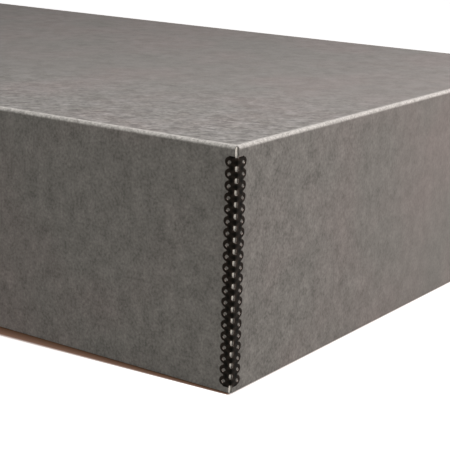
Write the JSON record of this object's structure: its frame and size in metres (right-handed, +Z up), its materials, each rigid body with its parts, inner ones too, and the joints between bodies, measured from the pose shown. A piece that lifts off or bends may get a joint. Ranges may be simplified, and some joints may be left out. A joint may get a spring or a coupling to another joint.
{
  "type": "archive box",
  "caption": "Long low archive box of solid grey board: a folded tray with a full-depth lift-off lid, its corners held by scalloped black metal edges.",
  "frame": {"origin": "on the floor, under the middle of the closed box", "axes": "+Z up, the way the lid lifts; X along the long walls; front, the long wall seen in the picture, towards -Y; the pictured corner at +X and -Y"},
  "size_m": [0.7716, 0.4668, 0.1554],
  "materials": {
    "grey_board": "matte solid pulp board, mottled warm grey faces over a paler tan core",
    "black_enamelled_steel": "thin steel strip with glossy black enamel"
  },
  "bodies": {
    "tray": {"base_board": "grey_board", "base_stay_front_right": "black_enamelled_steel", "base_stay_back_right": "black_enamelled_steel", "base_stay_back_left": "black_enamelled_steel", "base_stay_front_left": "black_enamelled_steel"},
    "lid": {"lid_board": "grey_board", "lid_stay_front_right": "black_enamelled_steel", "lid_stay_back_right": "black_enamelled_steel", "lid_stay_back_left": "black_enamelled_steel", "lid_stay_front_left": "black_enamelled_steel"}
  },
  "joints": [
    {"name": "lid_lift", "type": "slide", "parent": "tray", "child": "lid", "axis": [0, 0, 1], "range_m": [0, 0.175]}
  ]
}
